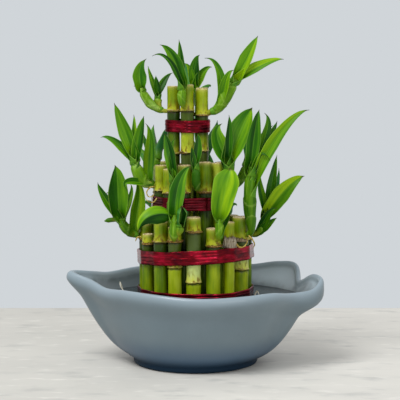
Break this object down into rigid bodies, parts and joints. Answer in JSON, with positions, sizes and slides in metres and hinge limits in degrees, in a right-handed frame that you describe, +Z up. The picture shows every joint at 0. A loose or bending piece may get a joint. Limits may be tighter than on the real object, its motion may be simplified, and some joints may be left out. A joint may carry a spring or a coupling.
{
  "type": "potted lucky bamboo",
  "caption": "Tiered bundle of tied green canes with leafy shoots, standing in water in a low leaf-shaped glazed ceramic bowl.",
  "frame": {"origin": "middle of the bowl's foot, on the surface it stands on", "axes": "+Z up along the canes, -X towards the bowl's pointed lip, -Y towards the side with the broad front leaves"},
  "size_m": [0.1828, 0.1354, 0.2326],
  "materials": {
    "glaze": "satin blue-grey glaze",
    "water": "clear still water",
    "cane": "smooth waxy living cane",
    "ribbon": "shiny metallic crimson ribbon",
    "leaf": "satin fresh leaf"
  },
  "bodies": {
    "root": {"bowl": "glaze", "cane_bottom_01": "cane", "cane_bottom_02": "cane", "cane_bottom_03": "cane", "cane_bottom_04": "cane", "cane_bottom_05": "cane", "cane_bottom_06": "cane", "cane_bottom_07": "cane", "cane_bottom_08": "cane", "cane_bottom_09": "cane", "cane_bottom_10": "cane", "cane_bottom_11": "cane", "cane_bottom_12": "cane", "cane_bottom_13": "cane", "cane_bottom_14": "cane", "cane_bottom_15": "cane", "cane_bottom_16": "cane", "cane_bottom_17": "cane", "cane_middle_01": "cane", "cane_middle_02": "cane", "cane_middle_03": "cane", "cane_middle_04": "cane", "cane_middle_05": "cane", "cane_middle_06": "cane", "cane_middle_07": "cane", "cane_middle_08": "cane", "cane_middle_09": "cane", "cane_middle_10": "cane", "cane_middle_11": "cane", "cane_middle_12": "cane", "cane_top_01": "cane", "cane_top_02": "cane", "cane_top_03": "cane", "cane_top_04": "cane", "cane_top_05": "cane", "cane_top_06": "cane", "cane_top_07": "cane", "shoot_bottom_back_left": "leaf", "shoot_bottom_back_right": "leaf", "shoot_bottom_bent": "leaf", "shoot_bottom_front": "leaf", "shoot_bottom_left": "leaf", "shoot_bottom_right": "leaf", "shoot_bottom_tall": "leaf", "shoot_middle_back_left": "leaf", "shoot_middle_back_right": "leaf", "shoot_middle_far_right": "leaf", "shoot_middle_front": "leaf", "shoot_middle_left": "leaf", "shoot_middle_right": "leaf", "shoot_middle_slim": "leaf", "shoot_top_back": "leaf", "shoot_top_front": "leaf", "shoot_top_left": "leaf", "shoot_top_right": "leaf", "tie_base": "ribbon", "tie_bottom": "ribbon", "tie_middle": "ribbon", "tie_top": "ribbon", "water": "water"}
  },
  "joints": []
}
